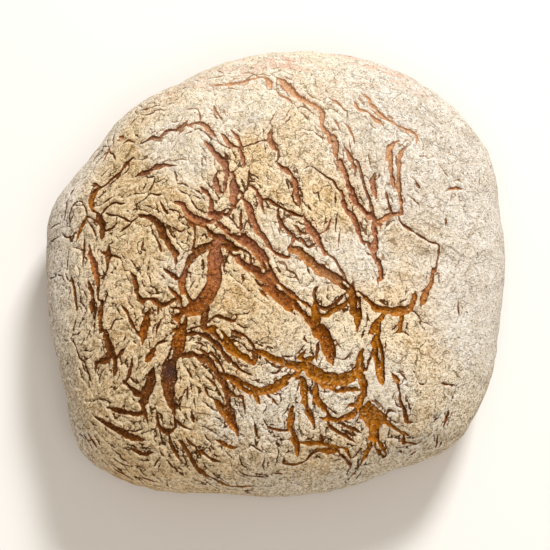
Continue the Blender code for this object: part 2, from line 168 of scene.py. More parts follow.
# Dark tears are narrow for their depth; the dark of their floors is partly the crust's colour, partly
# painted shade.
DARK_TEARS = [
    (7.0, (-50.5, -47), (-53.5, -56), (-54.8, -65), (-54.5, -79)),
    (3.8, (-71, 19.3), (-67.5, 18.7), (-63, 16.8), (-60, 12.5), (-57.5, 7.5), (-55, 3), (-52, -2)),
    (1.4, (-52.3, -1), (-52, -8.5)),
    (1.9, (-73.5, 60.3), (-69, 61.7), (-65, 63.8), (-61.5, 63.3), (-57, 67)),
    (1.9, (-61, 64.5), (-57.5, 67), (-53, 66.7), (-50, 68.7), (-46, 73.3)),
    (2.4, (-75, 54), (-79.5, 50.3), (-82, 46), (-86, 42.3), (-90, 39), (-94.5, 36.3)),
    (3.4, (-94.5, 22.5), (-92.3, 18.5), (-91.3, 14), (-91.5, 8)),
    (1.6, (-99, 41), (-94.5, 38)),
    (2.0, (-33, 82), (-31.8, 78), (-30.3, 75), (-28, 71)),
    (1.4, (-45, 80), (-42, 79.5), (-40.5, 76), (-40, 71.5)),
    (1.2, (-49, 79.5), (-43, 80)),
    (1.3, (-38.5, 64.5), (-36, 63), (-34, 60.5)),
    (2.4, (-17.5, 28), (-20.5, 24.7), (-23, 21.3), (-25, 18.6), (-31, 18.8)),
    (1.8, (-20, 32.5), (-17.5, 30), (-17, 26.5)),
    (1.4, (-13.5, 43), (-14, 38), (-14.5, 34.5), (-17.3, 29.5)),
    (2.0, (-47.5, 17.3), (-44.5, 15), (-42.5, 12), (-42, 9.5)),
    (3.0, (-42.5, 14), (-37.5, 12.5), (-35, 10), (-32, 7.3), (-27, 6)),
    (3.0, (-29.5, 4.2), (-34.5, 2.7), (-39, 1), (-42.5, -2.3), (-44.7, -5.5), (-47.5, -10.5)),
    (1.8, (-42, 7.5), (-42, 4), (-43, 0)),
    (1.8, (-30, 3.8), (-25.5, 5), (-21, 1.8), (-17, -0.5), (-13.5, -3), (-13, -7)),
    (3.6, (-29.5, 2.5), (-25, 2), (-21, 0)),
    (2.0, (-8, 26.5), (-3.5, 26.5), (0, 24), (5, 21.2), (10, 19), (14.7, 17.3)),
    (1.6, (-18, 21.8), (-18, 16), (-18.2, 11), (-19.5, 7.5)),
    (2.2, (1, 21.3), (2, 14.5), (5, 10.5), (8, 8), (12, 4)),
    (1.7, (8.3, 13), (10.2, 12.6), (12, 9.6), (15.3, 8.3)),
    (1.6, (12.3, 6.5), (15, 3), (17.5, 1.2), (20, 3)),
    (1.4, (-24.3, 18.3), (-21, 14), (-20, 11.5)),
    (1.6, (-24.3, -2), (-21.3, -4), (-19, -5.2)),
    (2.6, (-58.8, -8.5), (-55, -11.5), (-50, -14.3)),
    (2.4, (-56, -17), (-54, -20.3), (-51, -24.3), (-48.3, -29.5)),
    (1.8, (-48, -20), (-46, -23), (-44, -26), (-40.5, -28)),
    (2.6, (-68.5, -24.5), (-63, -25.5), (-60.5, -27), (-57, -28.6), (-52.5, -26)),
    (1.6, (-60.3, -28.5), (-60.5, -34)),
    (1.4, (-53.5, -30), (-50, -30.6), (-48.2, -31.8), (-46, -29.5)),
    (1.6, (-55.2, -31.7), (-52.3, -34.8), (-49, -35)),
    (1.8, (-58, -35), (-60.3, -38), (-61, -43.5)),
    (2.8, (-77, -9.5), (-74, -13), (-72.5, -17), (-72, -21), (-70.5, -24.5), (-68, -27)),
    (2.0, (-80.3, -26.5), (-77, -31), (-75, -36), (-72, -40), (-70, -44)),
    (3.2, (-98.3, -13.5), (-97, -18), (-96, -22), (-96.5, -27), (-97, -31)),
    (2.4, (-93.5, -8), (-93, -14), (-93, -19), (-93, -24)),
    (2.2, (-108.3, -9), (-107, -14), (-105.5, -19), (-105, -25), (-104.5, -29.5)),
    (3.6, (-90.3, -23.5), (-91, -29), (-91.8, -34.5), (-91, -40)),
    (3.8, (-88.5, -40), (-87.3, -46), (-86.5, -51), (-88, -55), (-93.5, -56)),
    (1.8, (-93, -57), (-94, -63)),
    (2.6, (-84.2, -50.5), (-83.5, -55.5), (-83, -61), (-84, -64)),
    (2.4, (-82, -54.5), (-79.5, -51.8), (-76.5, -48)),
    (1.8, (-73.8, -54.5), (-74.5, -60), (-76.3, -66)),
    (3.0, (-79, -65.5), (-76, -69), (-73, -71.7), (-69, -75)),
    (6.2, (-62.6, -60), (-64, -67), (-66, -72), (-68.5, -78)),
    (1.8, (-69, -78), (-68, -84)),
    (4.0, (-94.5, -83.5), (-89, -87), (-84, -90), (-79, -92.5), (-74, -95), (-66.5, -97)),
    (3.2, (-88, -79.3), (-82, -81.6), (-78, -82.5), (-72, -83.5), (-67, -83.3)),
    (2.2, (-68, -80), (-67, -84), (-66, -88.5)),
    (2.4, (-61.3, -81), (-61, -87), (-59.5, -91)),
    (2.6, (-61, -88.5), (-57, -92), (-52.5, -91.3)),
    (2.2, (-59.7, -91.5), (-58.3, -98)),
    (2.4, (-55.3, -92), (-54, -98), (-51.5, -103), (-48, -108)),
    (2.6, (-50.3, -95.5), (-47, -100), (-44.5, -104), (-42, -109), (-38, -112.3), (-33, -115)),
    (1.8, (-33, -115), (-28, -117.5), (-22, -119.5), (-11, -119.5)),
    (2.0, (-41.3, -100.7), (-37, -103), (-33, -105.7), (-28.5, -107)),
    (1.8, (-46, -94.5), (-44, -98), (-41, -99.7)),
    (2.8, (-47.3, -54.5), (-42, -54), (-38, -56), (-33, -59), (-30, -63), (-27.5, -67.5),
     (-24.5, -71.5), (-20, -74.5)),
    (2.6, (-47.5, -43.5), (-44, -43), (-40, -42.5), (-36, -44.5), (-33, -47), (-30, -50),
     (-27, -53.5), (-23.5, -58)),
    (2.4, (-24, -56), (-21, -59), (-17, -62), (-12, -64.3)),
    (2.4, (-24, -41), (-20, -43.3), (-15.5, -45), (-12.5, -48.7), (-11, -53), (-11.5, -59)),
    (3.8, (-36.5, -27), (-36, -32), (-36.5, -36), (-37, -40.5)),
    (2.2, (-34.5, -37), (-30, -34), (-26, -35.7), (-22, -37), (-19.8, -35)),
    (1.6, (-24.3, -47), (-20, -47.5), (-17, -49), (-14, -52.5)),
    (1.8, (-42.3, -47.3), (-39, -48.5), (-35.5, -50.3)),
    (1.6, (-38.5, -51), (-35.5, -54.5)),
    (1.8, (-33.5, -53.3), (-30.5, -56.5), (-27.5, -61), (-26, -65)),
    (1.6, (-35, -39.5), (-32, -43.7), (-28.7, -47)),
    (2.8, (-25.3, -71), (-24.5, -76), (-23.5, -80), (-21.3, -87)),
    (1.3, (-46, -60), (-44, -63), (-42.7, -66.5)),
    (2.0, (-52.7, -76), (-52, -81), (-51.5, -86), (-51, -90)),
    (1.5, (-51.3, -85.3), (-48.5, -88.5), (-45, -91), (-41.5, -91.3)),
    (1.6, (-45.5, -69.5), (-45.3, -76.5)),
    (1.6, (-36.7, -69.7), (-34.3, -74.5)),
    (1.8, (-17.3, -74.5), (-16.2, -79), (-15, -84.5)),
    (1.8, (-43.3, -82.5), (-42, -88.5)),
    (1.8, (22.5, -18.5), (19.8, -22), (19.5, -26), (21, -29), (25, -30.5), (29, -28.7),
     (32.5, -26.3), (35, -23.5)),
    (1.6, (14.5, -107), (17, -105), (19.5, -103), (23, -102)),
    (2.2, (33, -103.3), (37, -106), (39, -109), (37, -112.5)),
    (1.8, (-4, -91), (2, -91.5), (7, -92)),
    (1.6, (49.5, -51.5), (47.5, -57), (46, -61.5)),
    (1.6, (21.7, -48), (21, -53), (21.3, -58)),
    (1.8, (27, -89), (31, -92), (35, -94), (41.5, -98)),
    (1.8, (32, -87.5), (38, -90), (44, -93.3)),
    (1.8, (62, -67.5), (63.5, -73), (63, -76), (65.5, -80.3), (66.7, -84), (68, -87), (71.5, -87)),
    (1.6, (89.7, -79.5), (88.7, -85), (87.3, -90)),
    (2.0, (66, -93.5), (66, -98)),
    (1.8, (68, -97), (73, -98), (77, -95)),
    (1.6, (84.8, -92.5), (84, -99.5)),
    (1.5, (89.8, 20.5), (89.7, 13.8)),
    (1.4, (63.8, 20.5), (65.5, 15), (70, 12.5), (74, 10.5), (78, 8), (82, 5.5), (85.2, 4.8),
     (85.3, 0), (84, -6), (82.5, -9)),
    (1.4, (52, -14), (52.5, -18.5)),
    (1.5, (39.5, -15), (39, -19.5)),
    (1.8, (42, -21.7), (46, -25)),
]

# Fine tears are hardly open.
FINE_TEARS = [
    (1.0, (-36, 101), (-30, 101.5), (-26, 102.7)),
    (0.9, (-25, 100.5), (-21, 100)),
    (1.1, (-19, 103.3), (-14, 102.5), (-10.5, 100.3)),
    (1.2, (-44.5, 101.5), (-41, 98.3)),
    (1.0, (-17.5, 56.3), (-13, 58), (-9, 59.8), (-5.5, 60.3)),
    (1.3, (1, 58.5), (1.7, 52), (0.3, 48)),
    (1.0, (-36.5, 76.7), (-33.5, 76), (-31.5, 73)),
    (1.0, (-30, 59.3), (-27.5, 57), (-24, 55.3)),
    (0.8, (-46.8, 52.3), (-45.3, 47.3)),
    (0.8, (-38.8, 52.5), (-36.5, 48), (-36, 44.7)),
    (0.8, (0.3, 77.5), (-2, 73), (-3.3, 69.5)),
    (0.8, (-65, 61.8), (-62, 62), (-58, 65.5)),
    (1.2, (-88, 58.5), (-86.3, 53.5)),
    (1.1, (-79.3, 73.3), (-76.7, 76.3), (-74.7, 78.5)),
    (0.9, (-75, 51.7), (-70, 51), (-66.5, 51.8)),
    (0.9, (-66.3, 85), (-61, 84)),
    (1.3, (0.7, 91.5), (2, 88), (6, 86), (9.3, 82.3)),
    (0.9, (10, 82.3), (12.7, 77)),
    (1.0, (14.7, 82.3), (17, 78.7), (20.3, 76)),
    (1.4, (14.7, 76), (17.3, 71.7)),
    (1.1, (10, 95.3), (15, 94)),
    (1.1, (25.3, 79), (30, 78.7), (34, 75.7)),
    (1.4, (28.8, 85.3), (32, 82.5), (37, 78.3)),
    (1.1, (35, 71.7), (38, 69.3), (40, 65.3), (41.7, 57.5)),
    (1.0, (38.5, 80.5), (38.3, 73.5)),
    (0.9, (26, 86.5), (26, 82.7)),
    (0.9, (27, 91.3), (28, 89.5)),
    (1.2, (48.3, 53.7), (49.3, 49), (50, 45.5)),
    (1.1, (67.5, 57.5), (70.3, 58)),
    (0.9, (63.3, 65.3), (64.7, 60.5)),
    (1.2, (71.8, 60.3), (73.3, 63)),
    (1.2, (91, 57.7), (94.3, 56.3)),
    (0.9, (82, 54.3), (85, 52.7)),
    (1.0, (75.3, 52), (79, 53.2)),
    (1.0, (86, 50.3), (89.5, 46), (93.3, 41.7)),
    (1.4, (109.7, 45.3), (109.3, 40.5)),
    (1.2, (-103.3, 30), (-106, 31), (-109, 28), (-110, 23.5), (-109.7, 17)),
    (1.1, (-102.7, 28.3), (-101, 26), (-100, 22.5)),
    (1.3, (-100.3, 21), (-97, 19.7), (-94.7, 17.7)),
    (1.4, (-101.5, 10.3), (-101.5, 3), (-101.5, -6)),
    (1.0, (-104.3, 3.5), (-101.7, 3)),
    (1.0, (-110, 5.3), (-110.5, 0), (-111, -6)),
    (1.3, (-93.3, 3.3), (-90, 0.3), (-86.7, 1)),
    (2.6, (-87.5, 5.5), (-87.5, 0), (-88, -5), (-88.5, -10)),
    (1.5, (-87, 0.5), (-84, -1.5), (-81, -3.3)),
    (1.3, (-92, 21.5), (-89.7, 24.3), (-85.3, 27.4), (-81.5, 26.5), (-78, 27.5)),
    (1.1, (-90, 22.7), (-86.5, 21), (-82.5, 20), (-78.5, 18), (-75.5, 17), (-71, 19.5)),
    (0.9, (-83, 19.7), (-84, 15.7)),
    (1.3, (-89.7, 12.3), (-86, 13.5), (-83, 16.3)),
    (1.5, (-82.5, 10.7), (-80, 12.5), (-77, 14.5), (-75.3, 16.7)),
    (1.0, (-86.7, 9.3), (-85.3, 5.5)),
    (1.1, (-74.3, 25.7), (-68, 29), (-65.7, 31), (-61, 30.4), (-58.5, 31.3)),
    (1.1, (-75, 22.3), (-72.7, 24.3)),
    (1.3, (-68.3, 25.3), (-64.3, 23.3)),
    (2.0, (-60.3, 28), (-59.3, 24.5), (-56.8, 20)),
    (1.3, (-63.7, 10.3), (-61, 5.5), (-60, 1), (-58.3, -1)),
    (1.0, (-63.3, -2.7), (-60, -4.5), (-56.5, -5.2)),
    (0.9, (-80.3, -4.7), (-79.3, -9.5)),
    (1.0, (-57.3, 22), (-53, 21.5), (-50.5, 20), (-49.8, 17)),
    (1.2, (-54.7, 13.3), (-51.5, 11), (-49, 10.5), (-45.7, 12.2)),
    (1.0, (-50.7, 33.3), (-47.3, 31)),
    (1.0, (-46, 30.3), (-43, 25), (-41.5, 22), (-37, 20)),
    (1.0, (-39.3, 40.5), (-36.7, 37)),
    (1.0, (-34, 21.7), (-31, 20.5), (-28, 20.5), (-25.3, 22.2)),
    (0.9, (-22.7, 41.3), (-19, 44.7)),
    (0.9, (-13.5, 41.5), (-10, 40), (-7.7, 37.3)),
    (1.1, (-32.7, 48.3), (-32, 45)),
    (1.1, (-37.5, -2.5), (-37, -7), (-37, -11)),
    (1.3, (-44, -11.5), (-43.5, -17)),
    (1.0, (14, 43.3), (18, 45.5), (22, 43), (25, 40.5), (28, 38), (30, 37), (32, 33.7), (34, 31)),
    (0.9, (19.5, 34.5), (20, 31), (22.3, 31), (24.7, 34.3)),
    (0.9, (22.3, 31.3), (22.7, 25.7)),
    (2.0, (43, 49), (44.8, 42.5), (46.3, 36), (48.6, 28), (50.2, 21)),
    (1.0, (41.5, 37.3), (44.3, 31.7)),
    (1.1, (53, 42.3), (52, 39), (53, 35.7)),
    (1.6, (57, 34), (58.6, 28), (60.7, 20.5)),
    (1.2, (13, 34.5), (14.3, 29.7)),
    (0.9, (10, 45.3), (12, 39.7)),
    (1.1, (26, -1.7), (30, -5), (32, -8), (33.5, -10.5), (35.5, -13), (36.7, -17.5)),
    (1.3, (17, 25.5), (17.5, 22), (19.3, 20)),
    (0.9, (5.7, -7.7), (5.5, -11), (9, -12), (11, -15), (13.3, -19.5)),
    (0.9, (2.7, -11.7), (5, -14), (9.3, -15)),
    (1.7, (73.7, 38.3), (76.3, 34.2)),
    (1.5, (70.7, 41.3), (73.7, 39.3)),
    (0.9, (110, 24), (112, 27)),
    (0.9, (107.7, 23.3), (109.7, 21.7)),
    (0.8, (98, 31), (99.3, 29.3)),
    (1.0, (-79.7, -34.3), (-84, -35), (-85.7, -39.3)),
    (1.3, (-109.3, -41.5), (-106, -46), (-104.5, -50), (-102.5, -53.5), (-100.3, -55.3),
     (-99, -59), (-97, -64), (-95.7, -67)),
    (0.9, (-98.3, -54.3), (-94.7, -51.5)),
    (1.2, (-62.7, -21.7), (-59.5, -22.5)),
    (1.3, (-60.3, -47.7), (-55.5, -46)),
    (0.9, (-46.3, -41.3), (-42, -40), (-38, -39)),
    (0.9, (-20.3, -33.3), (-14, -33), (-12.7, -30.7)),
    (1.3, (-36.3, -64.7), (-33, -67.5), (-29.7, -70.3)),
    (1.3, (-2.3, -59.3), (1, -60.2), (5, -59.3)),
    (1.5, (-4.3, -62.3), (0, -63), (2.3, -60.7)),
    (1.0, (30.3, -46.7), (32.7, -50.3)),
    (1.0, (31.7, -55.7), (35, -56.3), (38.3, -52.7)),
    (1.3, (65.7, -42), (69.3, -44.3)),
    (1.2, (60.7, -43), (63.3, -41.7)),
    (1.1, (95.5, -22.7), (95.3, -28), (95.5, -33.5)),
    (1.1, (74.7, -36), (78, -37.3), (80.3, -38.3)),
    (1.1, (73.3, -65.7), (75, -68), (78.3, -67.3)),
    (1.3, (84, -66.7), (89, -68), (93.3, -67.7)),
    (1.1, (65.7, -67.7), (69.3, -69.7)),
    (1.2, (-76.3, -92), (-72, -92.3), (-67.7, -90.7)),
    (1.8, (-77.3, -99.7), (-73, -101.3), (-68, -103.5), (-62.5, -102.7)),
    (1.3, (-85.3, -104.7), (-80, -108), (-75.5, -109.3)),
    (1.7, (-86.3, -109.7), (-80, -113), (-73.5, -116.3)),
    (1.8, (-98.3, -91.7), (-95, -96), (-93.7, -99.7)),
    (1.3, (-90.3, -74.7), (-85.7, -77.3)),
    (1.3, (-14.3, -97.7), (-10, -100.5), (-6, -103.3)),
    (1.3, (-36.3, -89.7), (-31.5, -92.3)),
    (1.5, (-19.3, -111.7), (-15, -114), (-10, -114.5), (-3.5, -115)),
    (1.3, (-2, -113), (4.5, -113.7)),
    (1.5, (-4.3, -74.7), (-1, -77), (1.3, -80.3)),
    (1.7, (-6.3, -85.7), (-4.5, -90), (0, -91.5)),
    (1.7, (23.3, -92.5), (24, -98)),
    (1.5, (4, -104), (3.7, -108), (8, -108.5), (13.3, -107.3)),
    (1.5, (44.3, -99.5), (40.7, -104.3)),
    (1.5, (53, -100.5), (56, -105)),
    (1.2, (58.3, -81.3), (61.3, -82.2)),
    (1.0, (92.3, -70.7), (91.3, -76.3)),
    (1.5, (70, -103.3), (74.3, -100.7)),
]

# Floor colour of each kind of tear, from 0, dark, to 1, amber
TONES = {"amber": 1.0, "russet": 0.55, "dark": 0.15, "fine": 0.1}


def catmull_rom(before, start, end, after, share):
    """Value a share of the way from start to end on a smooth curve that passes through both."""
    tangent_in = (end - before) / 2
    tangent_out = (after - start) / 2
    square, cube = share ** 2, share ** 3
    return (start * (2 * cube - 3 * square + 1) + tangent_in * (cube - 2 * square + share)
            + end * (3 * square - 2 * cube) + tangent_out * (cube - square))


def outline_radius(angle):
    """Radius of the widest level in a direction."""
    place = (angle / math.tau * len(OUTLINE)) % len(OUTLINE)
    first = np.floor(place).astype(int)
    around = [OUTLINE[(first + step) % len(OUTLINE)] for step in (-1, 0, 1, 2)]
    return catmull_rom(*around, place - first)


def lump(x, y):
    """Height of the crown's soft swells at a place in the plan."""
    return LUMP_HEIGHT * (np.sin(x / 17 + 1.0) * np.cos(y / 21) + np.sin((x + y) / 31 + 2.0))


# ---------------------------------------------------------------------------------------------
# The crust laid flat: a round map whose middle is the crown and whose rim is the base's edge
# ---------------------------------------------------------------------------------------------
def section():
    """Share of the outline's radius, height and run along the crust, crown to base."""
    tilt = np.linspace(0, math.pi / 2, 200)
    drop = np.linspace(0, 1, 80)[1:]
    share = np.concatenate((np.sin(tilt) ** (2 / PLAN_POWER),
                            BASE_SHARE + (1 - BASE_SHARE) * np.sqrt(1 - drop ** 2)))
    rise = np.concatenate((np.cos(tilt) ** (2 / RISE_POWER), -drop))
    height = np.where(rise > 0, WAIST_HEIGHT + (CROWN_HEIGHT - WAIST_HEIGHT) * rise,
                      WAIST_HEIGHT * (1 + rise))
    steps = np.hypot(np.diff(share * MEAN_RADIUS), np.diff(height))
    return share, height, np.maximum(rise, 0), np.concatenate(([0], np.cumsum(steps)))


SHARE, SECTION_HEIGHT, RISE, RUN = section()
CROWN_STEPS = 200           # how many of the section's points lie above the waist


def to_map(plan):
    """Places on the map of points given as seen from above."""
    angle = np.arctan2(plan[:, 1], plan[:, 0])
    radius = outline_radius(angle)
    share = np.minimum(np.hypot(plan[:, 0], plan[:, 1]) / radius, 1)
    run = np.interp(share, SHARE[:CROWN_STEPS], RUN[:CROWN_STEPS]) * radius / MEAN_RADIUS
    return np.column_stack((run * np.cos(angle), run * np.sin(angle)))


def map_edge(angle):
    """Distance from the map's middle to its rim."""
    return RUN[-1] * outline_radius(angle) / MEAN_RADIUS


def to_loaf(places):
    """Points of the smooth loaf, in its own frame, for places on the map."""
    angle = np.arctan2(places[:, 1], places[:, 0])
    radius = outline_radius(angle)
    run = np.hypot(places[:, 0], places[:, 1]) * MEAN_RADIUS / radius
    reach = np.interp(run, RUN, SHARE) * radius
    x, y = reach * np.cos(angle), reach * np.sin(angle)
    z = np.interp(run, RUN, SECTION_HEIGHT) + lump(x, y) * np.interp(run, RUN, RISE)
    return np.column_stack((x - MIDDLE[0], y - MIDDLE[1], z))


def outward(places):
    """The loaf's outward directions at places on the map."""
    step = 0.5
    along_u = to_loaf(places + (step, 0)) - to_loaf(places - (step, 0))
    along_v = to_loaf(places + (0, step)) - to_loaf(places - (0, step))
    normal = np.cross(along_u, along_v)
    return normal / np.linalg.norm(normal, axis=1)[:, None]


# ---------------------------------------------------------------------------------------------
# The tears drawn on the map
# ---------------------------------------------------------------------------------------------
CELL = 0.3                  # the map's grid
MAP_REACH = 225.0           # half the map's side
GRID = int(2 * MAP_REACH / CELL)
FAR = 5.0                   # distance from a tear past which the crust doesn't feel it
JOIN = 1.6                  # how near a tear's end comes to a neighbour's edge when they join
ROUTE_STEP = 1.6            # between the points of a named tear's way
FINE_STEP = 0.8             # between the points of a hairline, a sliver or a tear's middle
SLIVER_TEARS = (4.4, 6.5)   # widths of the tears that slivers of crust stand in

gap = np.full((GRID, GRID), FAR)                # distance to the nearest tear's edge, less than 0 inside
half_width = np.full((GRID, GRID), 0.3)         # of the nearest tear
tone = np.full((GRID, GRID), 0.15)              # of the nearest tear
heading = np.full((GRID, GRID), np.nan)         # of the nearest tear
middles = []                                    # points along every tear's middle


def to_cell(places):
    """Column and row of the map at places on it, with fractions."""
    return (places + MAP_REACH) / CELL


def soft_noise(pitch, seed):
    """Smooth random values from about -1 to 1 over the map, with swells about a pitch apart."""
    place = np.arange(GRID) * CELL / pitch
    first = np.floor(place).astype(int)
    share = place - first
    knots = np.random.default_rng(seed).uniform(-1.6, 1.6, (first[-1] + 4,) * 2)
    weights = ((1 - share) ** 3 / 6, (3 * share ** 3 - 6 * share ** 2 + 4) / 6,
               (-3 * share ** 3 + 3 * share ** 2 + 3 * share + 1) / 6, share ** 3 / 6)
    rows = sum(weight[:, None] * knots[first + step] for step, weight in enumerate(weights))
    return sum(weight[None, :] * rows[:, first + step] for step, weight in enumerate(weights))


def read(values, places):
    """Values of the map at places on it, mixed from the four cells around."""
    cell = np.clip(to_cell(places), 0, GRID - 1.001)
    column, row = np.floor(cell).astype(int).T
    across, up = (cell - np.floor(cell)).T
    return ((values[row, column] * (1 - across) + values[row, column + 1] * across) * (1 - up)
            + (values[row + 1, column] * (1 - across) + values[row + 1, column + 1] * across) * up)


def draw_tear(route, halves, colour, fill=False):
    """Lowers the map's gap along a route with the given half widths, or fills it up again."""
    for start, end, wide, next_wide in zip(route[:-1], route[1:], halves[:-1], halves[1:]):
        margin = max(wide, next_wide) + FAR
        low = np.maximum(to_cell(np.minimum(start, end) - margin).astype(int), 0)
        high = np.minimum(to_cell(np.maximum(start, end) + margin).astype(int) + 2, GRID)
        window = (slice(low[1], high[1]), slice(low[0], high[0]))
        x = np.arange(low[0], high[0]) * CELL - MAP_REACH - start[0]
        y = (np.arange(low[1], high[1]) * CELL - MAP_REACH - start[1])[:, None]
        across, up = end - start
        share = np.clip((x * across + y * up) / max(across ** 2 + up ** 2, 1e-9), 0, 1)
        width = wide + (next_wide - wide) * share
        distance = np.hypot(x - across * share, y - up * share) - width
        if fill:
            gap[window] = np.maximum(gap[window], -distance)
            continue
        nearer = distance < gap[window]
        gap[window][nearer] = distance[nearer]
        half_width[window][nearer] = width[nearer]
        tone[window][nearer] = colour
        heading[window][nearer] = math.atan2(up, across)


def smooth_route(corners, step):
    """Points about a step apart on a smooth line through the corners."""
    padded = np.vstack((2 * corners[0] - corners[1], corners, 2 * corners[-1] - corners[-2]))
    route = [corners[:1]]
    for before, start, end, after in zip(padded, padded[1:], padded[2:], padded[3:]):
        count = max(2, round(np.linalg.norm(end - start) / step))
        shares = np.arange(1, count + 1)[:, None] / count
        route.append(catmull_rom(before, start, end, after, shares))
    return np.vstack(route)


def opening(route, width, blunt, draw):
    """Half widths along a tear: closed at the ends that meet no other, uneven between."""
    steps = np.hypot(*np.diff(route, axis=0).T)
    run = np.concatenate(([0], np.cumsum(steps)))
    halves = np.full(len(route), width / 2 * (1.1 if width > 2.5 else 1.0))
    taper = 2.0 * width + 2.0
    for along, is_blunt in ((run, blunt[0]), (run[-1] - run, blunt[1])):
        share = np.clip(along / min(taper, run[-1] * 0.6), 0, 1)
        halves *= np.maximum(np.sin(math.pi / 2 * share) ** 0.6, 0.55 if is_blunt else 0.05)
    knots = max(4, round(run[-1] / 3.5))
    unevenness = np.interp(width, (3, 6), (0.30, 0.16))
    return halves * (1 + unevenness * np.interp(run / run[-1], np.linspace(0, 1, knots),
                                                draw.uniform(-1, 1, knots)))


def wander(point, lie, length, width, draw):
    """Draws a hairline that zigzags both ways from a point until it meets another tear."""
    zigzag = np.interp(width, (0.4, 1.1), (0.42, 0.22))
    arms = []
    for turn in (0, math.pi):
        arm, course, here = [point], lie + turn, point
        while len(arm) < length / 2 / FINE_STEP:
            course = np.clip(course + draw.normal(0, 0.15), lie + turn - 0.6, lie + turn + 0.6)
            way = course + draw.normal(0, zigzag)
            here = here + FINE_STEP * np.array((math.cos(way), math.sin(way)))
            if np.hypot(*here) > MAP_REACH - 8:
                break
            arm.append(here)
            column, row = to_cell(here).astype(int)
            if len(arm) > 3 and gap[row, column] < 0.3:
                break
        arms.append(arm)
    route = np.array(arms[1][:0:-1] + arms[0])
    if len(route) < 4:
        return
    share = np.linspace(0, 1, len(route))
    halves = width / 2 * (1 - 0.8 * np.abs(2 * share - 1) ** 1.6) * draw.uniform(0.65, 1.25, len(route))
    draw_tear(route, halves, TONES["fine"])
    middles.append(route)


def main_routes():
    """The named tears' ways over the map, carried on to a neighbour where they nearly meet it."""
    kinds = zip((FINE_TEARS, DARK_TEARS, RUSSET_TEARS, AMBER_TEARS),
                ("fine", "dark", "russet", "amber"))
    tears = [(width, kind, smooth_route(to_map(np.array(corners, float)), ROUTE_STEP))
             for rows, kind in kinds for width, *corners in rows]
    owner = np.concatenate([np.full(len(route), index) for index, (_, _, route) in enumerate(tears)])
    points = np.vstack([route for _, _, route in tears])
    reach = np.array([width / 2 for width, _, _ in tears])[owner] + JOIN
    joined = []
    for index, (width, kind, route) in enumerate(tears):
        blunt = [False, False]
        for side, end in enumerate((route[0], route[-1])):
            away = np.hypot(*(points - end).T)
            away[(owner == index) | (away > reach)] = np.inf
            nearest = np.argmin(away)
            if away[nearest] < np.inf:
                blunt[side] = True
                extra = points[nearest][None, :]
                route = np.vstack((extra, route) if side == 0 else (route, extra))
        joined.append((width, kind, route, blunt))
    return joined


def draw_slivers(route, width, draw):
    """Leaves narrow strips of crust standing along a wide tear."""
    for _ in range(round(len(route) * ROUTE_STEP / 20)):
        place = draw.integers(1, len(route) - 1)
        along = route[place + 1] - route[place - 1]
        lie = math.atan2(along[1], along[0])
        side = draw.choice((-1, 1)) * draw.uniform(0.05, 0.30) * width
        middle = route[place] + side * np.array((-math.sin(lie), math.cos(lie)))
        lie += draw.normal(0, 0.16)
        reach = draw.uniform(2, 6) * np.array((math.cos(lie), math.sin(lie)))
        corners = np.array((middle - reach, middle + draw.normal(0, 0.3, 2), middle + reach))
        strip = smooth_route(corners, FINE_STEP)
        share = np.linspace(-1, 1, len(strip))
        halves = draw.uniform(0.12, 0.14 + 0.04 * width) * (1 - share ** 2) + 0.04
        draw_tear(strip, halves * draw.uniform(0.6, 1.3, len(strip)), 0, fill=True)


def draw_main_tears():
    """The named tears, each with hairlines that run on from its ends and beside it."""
    draw = np.random.default_rng(11)
    tears = main_routes()
    for width, kind, route, blunt in tears:
        draw_tear(route, opening(route, width, blunt, draw), TONES[kind])
        middles.append(smooth_route(route, FINE_STEP))
    for width, _, route, _ in tears:
        if SLIVER_TEARS[0] < width < SLIVER_TEARS[1]:
            draw_slivers(route, width, draw)
    for width, kind, route, blunt in tears:
        for end, before, is_blunt in ((route[0], route[2], blunt[0]), (route[-1], route[-3], blunt[1])):
            if is_blunt:
                continue
            lie = math.atan2(*(end - before)[::-1])
            wander(end, lie, draw.uniform(2, 5 + 1.5 * width), 0.5, draw)
    for width, kind, route, _ in tears:
        if width < 1.6:
            continue
        for _ in range(round(len(route) * ROUTE_STEP / 2.6)):
            place = draw.integers(1, len(route) - 1)
            along = route[place + 1] - route[place - 1]
            lie = math.atan2(along[1], along[0])
            side = draw.choice((-1, 1)) * (width / 2 + draw.uniform(0.8, 3.2))
            start = route[place] + side * np.array((-math.sin(lie), math.cos(lie)))
            column, row = to_cell(start).astype(int)
            if gap[row, column] < 0.55:
                continue
            wander(start, lie + draw.normal(0, 0.15), draw.uniform(5, 15), draw.uniform(0.35, 1.1), draw)


CRACKLE = soft_noise(16, 8)


def shatter(point):
    """How badly the crust has shattered at a place on the map, most to the left and front."""
    return np.interp(-0.55 * point[0] - 0.83 * point[1], (20, 80), (0, 1))


def crackle(point, cell):
    """How thickly hairlines lie at a place on the map: in patches, fewer to the right and the sides."""
    across = point[0] + 0.25 * point[1]
    patch = np.interp(CRACKLE[cell[1], cell[0]], (-0.5, 0.5), (0.25 + 0.5 * shatter(point), 1.0))
    toward_right = np.interp(across, (-20, 85), (1.0, 0.25))
    return patch * toward_right * np.interp(np.hypot(*point), (110, 150), (1, 0.6))


def draw_hairlines(count, seed):
    """Hairlines all over the crust and down its sides, most lying along their neighbours."""
    draw = np.random.default_rng(seed)
    for _ in range(count):
        angle = draw.uniform(0, math.tau)
        place = math.sqrt(draw.uniform(0, 1)) * map_edge(np.array([angle]))[0] * 0.99
        point = place * np.array((math.cos(angle), math.sin(angle)))
        column, row = to_cell(point).astype(int)
        clear = 1.0 - 0.35 * shatter(point)
        if gap[row, column] < clear or draw.uniform() > crackle(point, (column, row)):
            continue
        lie = heading[row, column]
        if np.isnan(lie):
            lie = angle + math.pi / 2
        lie += draw.normal(0, 0.3) + draw.choice((0, math.pi))
        if draw.uniform() < 0.3:
            lie += math.pi / 2
        wander(point, lie, draw.gamma(2.0, 1.9) + 2.2, draw.uniform(0.22, 0.52), draw)


